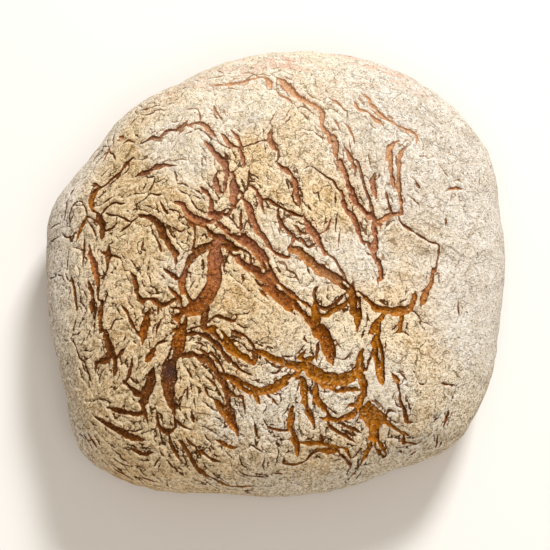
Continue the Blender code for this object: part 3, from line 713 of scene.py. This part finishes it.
def draw_wrinkles(count, seed):
    """Short tears of middling width where the crust has cracked most, to the left and front."""
    draw = np.random.default_rng(seed)
    for _ in range(count):
        angle = draw.uniform(0, math.tau)
        place = math.sqrt(draw.uniform(0, 1)) * 155
        point = place * np.array((math.cos(angle), math.sin(angle)))
        column, row = to_cell(point).astype(int)
        share = np.interp(point[0] + 0.5 * point[1], (-60, 50), (1.0, 0.12))
        clear = 1.25 - 0.4 * shatter(point)
        if not clear < gap[row, column] < 4.5 or draw.uniform() > share:
            continue
        lie = heading[row, column] + draw.normal(0, 0.2) + draw.choice((0, math.pi))
        wander(point, lie, draw.gamma(3.0, 3.2) + 5.0, draw.uniform(0.5, 1.3), draw)


def roughen():
    """Bends the tears a little, frays their edges and leaves bridges of flour across the wide ones."""
    rows, columns = np.indices((GRID, GRID)) * CELL - MAP_REACH
    bend_x = 0.45 * soft_noise(6, 1) + 0.26 * soft_noise(2.2, 2)
    bend_y = 0.45 * soft_noise(6, 3) + 0.26 * soft_noise(2.2, 4)
    places = np.column_stack(((columns + bend_x).ravel(), (rows + bend_y).ravel()))
    frayed = read(gap, places).reshape(GRID, GRID)
    wide = read(half_width, places).reshape(GRID, GRID)
    colour = read(tone, places).reshape(GRID, GRID)
    fray = np.clip(wide * np.interp(wide, (0.4, 1.1), (0.6, 1.0)), 0.08, 1.3)
    frayed += fray * (0.27 * np.tanh(2.2 * soft_noise(2.4, 5)) + 0.30 * np.tanh(2.2 * soft_noise(1.15, 6)))
    bridges = np.clip(soft_noise(3.2, 7) - 0.90, 0, 0.3) / 0.3
    frayed += bridges * np.clip(wide - 0.7, 0, 1.8) * 1.3
    return frayed, wide, colour, bend_x, bend_y


draw_main_tears()
draw_wrinkles(2200, 20)
draw_hairlines(9000, 21)
edge, wide, colour, bend_x, bend_y = roughen()
# the side of each tear toward the window light, along its plan direction of 0.38 by 0.92: it steers
# painted shade and painted light in the tears
rise_y, rise_x = np.gradient(edge, CELL)
shade_side = np.clip(0.38 * rise_x + 0.92 * rise_y, -1, 1)  # 1 under a tear's back lip, -1 over its front lip

# ---------------------------------------------------------------------------------------------
# The crust's mesh
# ---------------------------------------------------------------------------------------------
WALL = 0.42                 # how far inside a tear's edge its floor begins
THIN = 0.42                 # half width under which a tear is a plain notch
SPACING = 2.0               # between vertices where the crust is whole
RIM_POINTS = 420            # vertices round the base's edge
BASE_SPACING = 3.2          # between the base's vertices
ROW_STEP = 0.866            # between rows of a hexagonal pattern, as a share of its spacing
SHARP = math.radians(36)    # turn from face to face past which an edge is sharp
NOISE_WIDE = soft_noise(13, 41)
NOISE_MIDDLE = soft_noise(4.5, 42)
NOISE_FINE = soft_noise(1.5, 43)


def contour(level):
    """Places where the edge distance equals a level."""
    over = edge - level
    places = []
    for axis in (0, 1):
        near = over[:-1] if axis == 0 else over[:, :-1]
        far = over[1:] if axis == 0 else over[:, 1:]
        row, column = np.nonzero(near * far < 0)
        share = near[row, column] / (near[row, column] - far[row, column])
        cell = np.column_stack((column, row)).astype(float)
        cell[:, 1 - axis] += share
        places.append(cell * CELL - MAP_REACH)
    return np.vstack(places)


class Spread:
    """Keeps points that aren't too close to those kept before."""

    BIN = 1.8               # side of the squares that the kept points are sorted into

    def __init__(self):
        self.cells = {}
        self.kept = []

    def add(self, places, spacing, clear):
        """Takes the places that are a spacing from each other and clear of the rest."""
        added = {}
        reach = range(-1, 2)
        for x, y in places.tolist():
            cell = (int(x // self.BIN), int(y // self.BIN))
            close = False
            for i in reach:
                for j in reach:
                    key = (cell[0] + i, cell[1] + j)
                    if any((x - a) ** 2 + (y - b) ** 2 < spacing * spacing
                           for a, b in added.get(key, ())):
                        close = True
                    elif any((x - a) ** 2 + (y - b) ** 2 < clear * clear
                             for a, b in self.cells.get(key, ())):
                        close = True
                if close:
                    break
            if not close:
                added.setdefault(cell, []).append((x, y))
                self.kept.append((x, y))
        for key, points in added.items():
            self.cells.setdefault(key, []).extend(points)


def inside(places, margin):
    """The places that are a margin or more inside the map's rim."""
    angle = np.arctan2(places[:, 1], places[:, 0])
    return places[np.hypot(places[:, 0], places[:, 1]) < map_edge(angle) - margin]


def hexagonal(spacing, seed):
    """Evenly spread places over the whole map, a little out of line."""
    draw = np.random.default_rng(seed)
    x, y = np.meshgrid(np.arange(-MAP_REACH, MAP_REACH, spacing),
                       np.arange(-MAP_REACH, MAP_REACH, spacing * ROW_STEP))
    x[1::2] += spacing / 2
    places = np.column_stack((x.ravel(), y.ravel()))
    return places + draw.uniform(-0.2, 0.2, places.shape) * spacing


def of_wide(places):
    """The places whose nearest tear is more than a notch."""
    return places[read(wide, places) > THIN]


def crust_places():
    """Places on the map for the crust's vertices, closest along the tears."""
    spread = Spread()
    draw = np.random.default_rng(31)
    lines = np.vstack(middles)
    moved = lines
    for _ in range(3):
        moved = lines - np.column_stack((read(bend_x, moved), read(bend_y, moved)))
    lines = inside(moved[read(edge, moved) < -0.03], 1.0)
    thin = read(wide, lines) <= THIN
    spread.add(draw.permutation(inside(of_wide(contour(0.0)), 1.0)), 0.50, 0.0)
    spread.add(draw.permutation(inside(of_wide(contour(-WALL)), 1.0)), 0.65, 0.28)
    spread.add(lines[thin], 0.7, 0.42)
    spread.add(lines[~thin], 0.6, 0.25)
    spread.add(draw.permutation(inside(of_wide(contour(0.6)), 1.2)), 1.1, 0.45)
    spread.add(draw.permutation(inside(contour(0.45), 1.2)), 1.15, 0.45)
    floor = hexagonal(1.0, 32)
    spread.add(inside(floor[read(edge, floor) < -WALL], 1.0), 0.8, 0.45)
    field = hexagonal(SPACING, 33)
    spread.add(inside(field, 1.6), 1.2, 0.85)
    return np.array(spread.kept)


places = crust_places()


def relief(places):
    """Height of the crust over the smooth loaf at places on the map."""
    distance = read(edge, places)
    width = read(wide, places)
    depth = np.clip(0.08 + 0.85 * width, 0.16, 2.4)
    sunk = np.clip(-distance / np.minimum(WALL, np.maximum(width * 0.8, 0.12)), 0, 1)
    bowl = np.clip(-distance / np.maximum(width, 0.3), 0, 1)
    pillow = 0.6 * (1 - np.exp(-np.clip(distance, 0, None) / 0.9)) * np.clip(width * 1.4, 0.3, 1)
    swell = 0.45 * read(NOISE_WIDE, places) + 0.38 * read(NOISE_MIDDLE, places)
    grain = 0.09 * read(NOISE_FINE, places)
    hollow = 0.55 + 0.45 * np.sin(math.pi / 2 * bowl)
    return pillow - depth * sunk * hollow + swell + grain * (1 + sunk)


def crust_mesh():
    """The whole crust as one closed mesh: the map's sheet, and the flat base that shuts it."""
    angles = np.arange(RIM_POINTS) * math.tau / RIM_POINTS
    rim = map_edge(angles)[:, None] * np.column_stack((np.cos(angles), np.sin(angles)))
    sheet = np.vstack((rim, places))
    ring = list(range(RIM_POINTS))
    _, _, faces, *_ = delaunay_2d_cdt([Vector(place) for place in sheet], [], [ring], 1, 1e-6)
    points = to_loaf(sheet)
    lift = relief(sheet)
    lift[:RIM_POINTS] = 0
    points += outward(sheet) * lift[:, None]
    points[RIM_POINTS:, 2] = np.maximum(points[RIM_POINTS:, 2], 0.15)
    points[:RIM_POINTS, 2] = 0

    spare = hexagonal(BASE_SPACING, 34)
    angle = np.arctan2(spare[:, 1], spare[:, 0])
    spare = spare[np.hypot(spare[:, 0], spare[:, 1]) < BASE_SHARE * outline_radius(angle) - 2.0]
    base_plan = np.vstack((points[:RIM_POINTS, :2], spare - MIDDLE))
    _, _, base_faces, *_ = delaunay_2d_cdt([Vector(place) for place in base_plan], [], [ring], 1, 1e-6)
    base = np.column_stack((spare - MIDDLE, np.zeros(len(spare))))
    shift = len(sheet) - RIM_POINTS
    faces += [[index if index < RIM_POINTS else index + shift for index in reversed(face)]
              for face in base_faces]
    mesh = bpy.data.meshes.new("crust")
    mesh.from_pydata(np.vstack((points, base)) * MM, [], faces)
    mesh.shade_smooth()
    mesh.set_sharp_from_angle(angle=SHARP)
    none = np.zeros(len(base))
    for name, values in (("edge", np.concatenate((read(edge, sheet), none + FAR))),
                         ("width", np.concatenate((read(wide, sheet), none))),
                         ("tone", np.concatenate((read(colour, sheet), none))),
                         ("shade_side", np.concatenate((read(shade_side, sheet), none)))):
        attribute = mesh.attributes.new(name, "FLOAT", "POINT")
        attribute.data.foreach_set("value", values.astype(np.float32))
    return mesh


crust = bpy.data.objects.new("crust", crust_mesh())
bpy.context.scene.collection.objects.link(crust)

# ---------------------------------------------------------------------------------------------
# Materials
# ---------------------------------------------------------------------------------------------
class Value:
    """A shader socket that arithmetic can be written on."""

    def __init__(self, shader, socket):
        self.shader = shader
        self.socket = socket

    def __add__(self, other):
        return self.shader.math("ADD", self, other)

    def __sub__(self, other):
        return self.shader.math("SUBTRACT", self, other)

    def __rsub__(self, other):
        return self.shader.math("SUBTRACT", other, self)

    def __mul__(self, other):
        return self.shader.math("MULTIPLY", self, other)

    __radd__ = __add__
    __rmul__ = __mul__


class Shader:
    """A material and the nodes of its Principled shader."""

    def __init__(self, name, **constants):
        self.material = bpy.data.materials.new(name)
        self.material.use_nodes = True
        self.tree = self.material.node_tree
        self.surface = self.tree.nodes["Principled BSDF"]
        for socket, value in constants.items():
            self.surface.inputs[socket.replace("_", " ")].default_value = value
        self.place = self.node("ShaderNodeTexCoord")["Object"]

    def node(self, kind, settings=(), **sockets):
        """Adds a node and returns its outputs by name."""
        node = self.tree.nodes.new(kind)
        for name, value in dict(settings).items():
            setattr(node, name, value)
        for name, value in sockets.items():
            key = int(name[1:]) if name[0] == "i" and name[1:].isdigit() else name.replace("_", " ")
            self.feed(node.inputs[key], value)
        return {output.name: Value(self, output) for output in node.outputs}

    def feed(self, socket, value):
        """Links a value to a socket, or sets the socket to a constant."""
        if isinstance(value, Value):
            self.tree.links.new(value.socket, socket)
        else:
            socket.default_value = value

    def math(self, operation, first, second=0.0):
        return self.node("ShaderNodeMath", {"operation": operation}, i0=first, i1=second)["Value"]

    def axes(self):
        """The place's x, y and z in metres."""
        return self.node("ShaderNodeSeparateXYZ", Vector=self.place).values()

    def stretched(self, *scale):
        """The place with its axes scaled, for a pattern that runs one way."""
        return self.node("ShaderNodeVectorMath", {"operation": "MULTIPLY"},
                         i0=self.place, i1=scale)["Vector"]

    def near(self, x, y, radius):
        """1 over a place in the plan, falling to 0 a radius away; all in millimetres."""
        away = self.node("ShaderNodeVectorMath", {"operation": "DISTANCE"}, i0=self.stretched(1, 1, 0),
                         i1=(x * MM, y * MM, 0))["Value"]
        return self.ramp(away, radius * MM, 0)

    def spots(self, rows):
        """Soft spots in the plan added up, each given by its place, its reach and its strength."""
        return sum(self.near(x, y, reach) * strength for x, y, reach, strength in rows)

    def attribute(self, name):
        """What the mesh's vertices hold under a name."""
        return self.node("ShaderNodeAttribute", {"attribute_name": name})["Fac"]

    def ramp(self, value, low, high, bottom=0.0, top=1.0):
        """A smooth step from bottom to top as value goes from low to high."""
        return self.node("ShaderNodeMapRange", {"interpolation_type": "SMOOTHSTEP"}, Value=value,
                         From_Min=low, From_Max=high, To_Min=bottom, To_Max=top)["Result"]

    def noise(self, size, detail=2.0, rough=0.5, warp=0.0, where=None):
        """Smooth noise, 0 to 1, whose swells are about a size across in millimetres."""
        return self.node("ShaderNodeTexNoise", Vector=where or self.place, Scale=1 / (size * MM),
                         Detail=detail, Roughness=rough, Distortion=warp)["Fac"]

    def plates(self, size, wander):
        """Distance to the nearest side of uneven plates, in plates; size and wander in millimetres."""
        swirl = self.node("ShaderNodeTexNoise", Vector=self.place, Scale=1 / (size * MM), Detail=3.0)
        moved = self.node("ShaderNodeVectorMath", {"operation": "MULTIPLY_ADD"}, i0=swirl["Color"],
                          i1=(wander * MM, wander * MM, 0), i2=self.stretched(1, 1, 0.25))["Vector"]
        return self.node("ShaderNodeTexVoronoi", {"feature": "DISTANCE_TO_EDGE"}, Vector=moved,
                         Scale=1 / (size * MM))["Distance"]

    def mix(self, share, first, second):
        """A share of the way from the first colour to the second."""
        node = self.tree.nodes.new("ShaderNodeMix")
        node.data_type = "RGBA"
        colours = [socket for socket in node.inputs if socket.type == "RGBA"]
        self.feed(node.inputs[0], share)
        self.feed(colours[0], first if isinstance(first, Value) else (*first, 1))
        self.feed(colours[1], second if isinstance(second, Value) else (*second, 1))
        return Value(self, [socket for socket in node.outputs if socket.type == "RGBA"][0])

    def bump(self, height, distance):
        """The normal over a height of 0 to 1 that stands for a distance in millimetres."""
        return self.node("ShaderNodeBump", Height=height, Distance=distance * MM,
                         Strength=1.0)["Normal"]

    def use(self, **sockets):
        """Feeds the Principled shader's sockets and returns the material."""
        for name, value in sockets.items():
            self.feed(self.surface.inputs[name.replace("_", " ")], value)
        return self.material


CRACK = (0.17, 0.093, 0.020)        # the brown in cracks too fine to be open

# Soft spots in the plan: x, y and reach in millimetres, then strength.
# Flour lies thicker on these, or thinner where the strength is less than 0.
FLOUR_SPOTS = (
    (-34, 82, 54, 0.8), (22, -12, 36, 1.2), (-4, 5, 26, 0.8), (92, -28, 40, 0.6), (-8, -88, 46, 1.3),
    (-50, 56, 38, 1.6), (46, -72, 36, 1.4), (10, -56, 38, 1.0), (-52, -13, 28, 1.5),
    (-42, -50, 26, 0.9), (-36, 18, 30, 0.6), (-17, 45, 22, -0.9), (16, 60, 50, -0.2),
    (30, -33, 24, -0.8), (60, -88, 30, -0.4), (-62, 98, 32, -0.7), (26, 24, 24, -0.5),
    (47, -9, 24, 0.9), (63, 27, 26, 0.2), (6, 46, 26, 0.3), (28, 44, 24, 0.3), (60, -76, 20, 0.8),
    (104, -50, 30, 0.6), (-32, -94, 24, 0.6), (-10, 84, 24, 0.5),
)
# Flour scorched darker.
DUSKY_SPOTS = (
    (-86, -74, 54, 0.75), (-78, 27, 42, 0.85), (36, -29, 24, 0.8),
)
# Tear floors toward amber, or toward dark where the strength is less than 0.
TONE_SPOTS = (
    (-44, -66, 40, -0.5), (-24, -92, 20, -0.6), (33, -80, 14, -0.8), (14, -90, 16, -0.3),
    (-49, -45, 12, 0.4), (-96, -8, 26, -0.45),
)


def crust_material():
    """Flour over toasted crust, open to amber, russet or dark crumb in the tears, with painted light and
    shade on their lips and floors.
    """
    s = Shader("floured crust", IOR=1.45, Specular_IOR_Level=0.06)
    edge_distance = s.attribute("edge")
    half = s.attribute("width")
    tear_tone = s.attribute("tone")
    # 1 in the shade under a tear's back lip, -1 where the window light falls on its front lip: it steers
    # the painted light and shade below
    lie = s.attribute("shade_side")

    fray = s.noise(0.9, 4.0, 0.65) - 0.5
    ragged = edge_distance + fray * 1.0
    open_tear = s.ramp(ragged, 0.04, -0.10)

    # Flour: cream with sandy and whiter patches, thickest toward the right, the back and the sides; the
    # paler left flank and a paler patch on the front of the crown are partly painted light
    x, y, z = s.axes()
    patches = s.noise(26, 3.0, 0.55)
    blotch = s.noise(6.5, 3.0, 0.6)
    sandy = s.noise(1.6, 4.0, 0.7)
    grit = s.noise(0.85, 3.0, 0.6)
    side = s.ramp(z, 0.066, 0.048)
    front = s.ramp(y, -0.045, -0.090)
    back = s.ramp(y, 0.020, 0.070)
    left = s.ramp(x, -0.076, -0.118)
    cover = x * 10.0 + y * 11.0 + patches * 0.75 + left * 1.5 + s.spots(FLOUR_SPOTS)
    calm = s.ramp(cover, 0.60, 1.75)
    thick = s.ramp(cover + side * 1.2 + front * 1.0, 0.40, 1.75)
    flour = s.mix(s.ramp(patches + (blotch - 0.5) * 0.6, 0.35, 0.62),
                  (0.80, 0.535, 0.28), (0.90, 0.67, 0.40))
    warm = s.ramp(x, 0.070, 0.010) + front
    flour = s.mix(thick, flour, s.mix(warm, (0.80, 0.725, 0.62), (0.87, 0.755, 0.575)))
    # the left flank paler: partly thicker flour, partly painted light where more light reaches the left
    # side
    flour = s.mix(left * 0.95, flour, (0.95, 0.88, 0.78))
    dusky = s.spots(DUSKY_SPOTS)
    flour = s.mix(dusky, flour, (0.60, 0.41, 0.21))
    # a broad paler patch on the front right of the crown: partly paler flour, partly painted light where
    # the lamps fall off toward the front
    flour = s.mix(s.near(34, -56, 60), flour, (1.0, 0.88, 0.69))
    flour = s.mix(s.ramp(s.noise(15, 3.0, 0.6), 0.50, 0.38) * calm * back * 0.6, flour, (0.58, 0.50, 0.40))
    # browner low on the front of the loaf
    low_front = s.ramp(z, 0.036, 0.012) * s.ramp(y, 0.0, -0.080)
    flour = s.mix(low_front * 0.7, flour, (0.57, 0.41, 0.26))
    streaks = s.noise(9.0, 3.0, 0.6, 0.5, s.stretched(0.4, 1.6, 1.0))
    blush = s.ramp(y, 0.074, 0.106) * s.ramp(streaks, 0.48, 0.60)
    flour = s.mix(blush * 0.7, flour, (0.82, 0.50, 0.38))
    stale = s.mix(thick, (0.62, 0.43, 0.22), (0.64, 0.56, 0.44))
    flour = s.mix(s.ramp(blotch, 0.47, 0.33) * (0.50 - calm * 0.2), flour, stale)
    pale = s.mix(thick, (1.0, 0.80, 0.49), s.mix(warm, (0.94, 0.90, 0.83), (0.98, 0.88, 0.71)))
    flour = s.mix(s.ramp(sandy + (blotch - 0.5) * 0.4, 0.50, 0.66) * 0.85, flour, pale)
    flour = s.mix(s.ramp(sandy, 0.51, 0.34) * (0.88 - calm * 0.5), flour, (0.43, 0.275, 0.095))
    flour = s.mix(s.ramp(grit, 0.46, 0.34) * (1.0 - calm * 0.45), flour, CRACK)

    # Toward the foot the flour thins and the toasted crust shows through
    above_foot = z + (patches - 0.5) * 0.030 + (blotch - 0.5) * 0.016 - s.ramp(y, -0.075, 0.0) * 0.012
    foot = s.ramp(above_foot, 0.034, 0.008)
    toasted = s.mix(s.ramp(blotch, 0.36, 0.62), (0.29, 0.112, 0.030), (0.54, 0.260, 0.080))
    clinging = s.ramp(sandy, 0.47, 0.60)
    flour = s.mix(foot * (0.92 - clinging * 0.50), flour, toasted)

    # Hairlines: broken wandering cracks too fine to be open
    stray = s.noise(3.0, 3.0, 0.55)
    line = s.ramp(s.math("ABSOLUTE", stray - 0.5), 0.026, 0.005)
    shattered = s.ramp(x * 0.55 + y * 0.83, -0.015, -0.075)
    broken = s.ramp(s.noise(4.0, 2.0, 0.5) + shattered * 0.08, 0.48, 0.58)
    flour = s.mix(line * broken * (0.8 - calm * 0.45), flour, CRACK)
    craze = (s.ramp(s.plates(8.5, 9.0), 0.038, 0.012) * s.ramp(s.noise(7.5, 2.0, 0.5), 0.45, 0.55)
             * s.ramp(z, 0.050, 0.066))
    flour = s.mix(craze * (0.80 - calm * 0.50), flour, CRACK)
    speck = s.ramp(s.noise(1.35, 2.0, 0.5), 0.375, 0.31)
    flour = s.mix(speck * 0.85, flour, (0.24, 0.145, 0.055))

    # Pale lips and torn dough along the edges, then the floor, with painted light and shade on both
    # pale flour lips along the edges, made paler on the front lip where the window light falls: partly the
    # flour's colour, partly painted highlight
    lip = s.ramp(edge_distance, 1.5, 0.25) * s.ramp(s.noise(2.2, 3.0, 0.6), 0.34, 0.54)
    flour = s.mix(lip * s.ramp(lie, 0.4, -0.5, 0.1, 0.7), flour,
                  s.mix(thick, (1.0, 0.82, 0.56), (0.97, 0.90, 0.80)))
    pink = s.ramp(edge_distance, 0.8, 0.1) * s.ramp(s.noise(3.0, 2.0), 0.45, 0.6)
    flour = s.mix(pink * 0.4 * s.ramp(half, 0.3, 0.8), flour, (0.76, 0.50, 0.31))
    low = s.ramp(y, 0.0, -0.040)
    # pinker floors toward the back and about one spot right of the middle: partly the crust's colour,
    # partly painted reflection, the pink sheen of glossy tear floors
    rosy = s.ramp(x * 0.35 + y, -0.030, 0.045) + s.near(29, -14, 18) * 0.4
    mottle = s.ramp(s.noise(1.7, 5.0, 0.75), 0.37, 0.63)
    amber = s.mix(mottle, s.mix(rosy, (0.17, 0.045, 0.002), (0.26, 0.082, 0.020)),
                  s.mix(rosy, (0.57, 0.20, 0.008), (0.66, 0.29, 0.115)))
    # painted highlight: paler orange in the middles of the amber floors, away from the walls
    painted_highlight = s.ramp(edge_distance, -0.5, -1.5) * s.ramp(s.noise(2.6, 3.0, 0.6), 0.42, 0.62)
    amber = s.mix(painted_highlight * 0.6, amber, s.mix(rosy, (0.70, 0.265, 0.018), (0.80, 0.39, 0.155)))
    russet = s.mix(mottle, s.mix(low, (0.18, 0.050, 0.015), (0.12, 0.028, 0.002)),
                   s.mix(low, (0.56, 0.215, 0.100), (0.46, 0.14, 0.014)))
    # the dark tears' floor: partly dark crust, partly painted shade inside narrow deep tears
    dark = s.mix(mottle, (0.075, 0.021, 0.003), (0.30, 0.100, 0.024))
    shift = tear_tone + (s.noise(7.0, 2.0) - 0.5) * 0.8 + s.spots(TONE_SPOTS)
    floor = s.mix(s.ramp(shift, 0.1, 0.45), dark, russet)
    floor = s.mix(s.ramp(shift, 0.65, 0.95), floor, amber)
    # painted reflection: a dark purplish spot where a bluish sheen lies on the floor of the wide dark tear
    # low on the left
    floor = s.mix(s.near(-53.5, -64, 8) * 0.9, floor, (0.070, 0.036, 0.034))
    dusted = s.ramp(s.noise(1.3, 3.0, 0.65) + thick * 0.06, 0.60, 0.70) * s.ramp(half, 0.5, 1.3)
    paling = s.ramp(y + x * 0.25, 0.038, 0.092)
    floor = s.mix(calm * rosy * 0.3, floor, (0.64, 0.36, 0.22))
    floor = s.mix(paling * 0.75, floor, (0.80, 0.475, 0.27))
    # duller purplish brown on the floors up and left of the middle: partly the crust's colour, partly
    # painted reflection
    floor = s.mix(s.near(-25, 38, 24) * 0.4, floor, (0.36, 0.20, 0.13))
    floor = s.mix(dusted * 0.7, floor, (0.80, 0.58, 0.34))
    # painted shade: the floor darkened along its walls, most under the back lip in the shadow from the
    # window light, less toward the back and right
    rim = s.ramp(edge_distance, -1.15, -0.25) * s.ramp(lie, -0.3, 0.6, 0.10, 0.72)
    floor = s.mix(rim * (1 - paling * 0.75), floor, (0.080, 0.022, 0.001))
    # painted light: the floor paler and warmer inside the front lip, where the window light falls on it
    painted_light = (s.ramp(edge_distance, -2.2, -0.5) * s.ramp(lie, -0.1, -0.7) * (1 - dusky)
             * s.ramp(shift, 0.0, 0.5, 0.4, 1.0))
    floor = s.mix(painted_light * 0.45, floor, s.mix(rosy, (0.68, 0.27, 0.040), (0.70, 0.36, 0.19)))
    floor = s.mix(dusky * 0.5, floor, (0.075, 0.022, 0.002))
    # narrow tears darker where the flour is busy: partly the crust's brown, partly painted shade inside
    # the narrow notch
    thin = s.mix(calm, (0.085, 0.034, 0.005), (0.40, 0.25, 0.14))
    floor = s.mix(s.ramp(half, 0.75, 0.35) * 0.85, floor, thin)
    colour = s.mix(open_tear, flour, floor)

    height = (sandy * 1.2 + grit * 0.7 + s.noise(0.9, 3.0, 0.6) * 0.5 - line * broken * 0.35
              - craze * 0.4)
    return s.use(Base_Color=colour, Roughness=0.92 - open_tear * 0.42, Normal=s.bump(height, 1.1))


crust.data.materials.append(crust_material())
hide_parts("loaf")
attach(crust, "root")

# ---------------------------------------------------------------------------------------------
# Stage
# ---------------------------------------------------------------------------------------------
def make_floor():
    bpy.ops.mesh.primitive_plane_add(size=6)
    floor = bpy.context.object
    floor.name = "floor"
    s = Shader("pale floor")
    floor.data.materials.append(s.use(Base_Color=(0.80, 0.78, 0.75, 1), Roughness=0.9))


def aim(thing, target):
    """Turns a light or a camera toward a point."""
    thing.rotation_euler = (Vector(target) - thing.location).to_track_quat("-Z", "Y").to_euler()


def area_light(name, place, target, size, power, colour):
    data = bpy.data.lights.new(name, "AREA")
    data.shape = "SQUARE"
    data.size = size
    data.energy = power
    data.color = colour
    light = bpy.data.objects.new(name, data)
    light.location = place
    bpy.context.scene.collection.objects.link(light)
    aim(light, target)


CAMERA_TILT = math.radians(79)      # above the horizon
CAMERA_DISTANCE = 0.744
CAMERA_AIM = np.array((-0.4, -6, 45))   # millimetres, from the outline's own middle


def make_camera():
    target = Vector((CAMERA_AIM - (*MIDDLE, 0)) * MM)
    data = bpy.data.cameras.new("camera")
    data.lens = 90
    camera = bpy.data.objects.new("camera", data)
    toward = Vector((0, -math.cos(CAMERA_TILT), math.sin(CAMERA_TILT)))
    camera.location = target + CAMERA_DISTANCE * toward
    bpy.context.scene.collection.objects.link(camera)
    aim(camera, target)
    bpy.context.scene.camera = camera


def make_world():
    world = bpy.data.worlds.new("soft room light")
    world.use_nodes = True
    world.node_tree.nodes["Background"].inputs["Color"].default_value = (1.0, 0.90, 0.78, 1)
    world.node_tree.nodes["Background"].inputs["Strength"].default_value = 0.37
    bpy.context.scene.world = world


make_floor()
area_light("ceiling", (0.10, -0.5, 1.4), (0, 0, 0.04), 1.0, 8.0, (1.0, 0.96, 0.90))
area_light("window", (0.72, 1.75, 1.60), (0, 0, 0.04), 0.55, 66, (0.98, 0.99, 1.0))
make_camera()
make_world()
bpy.context.scene.view_settings.view_transform = "Standard"
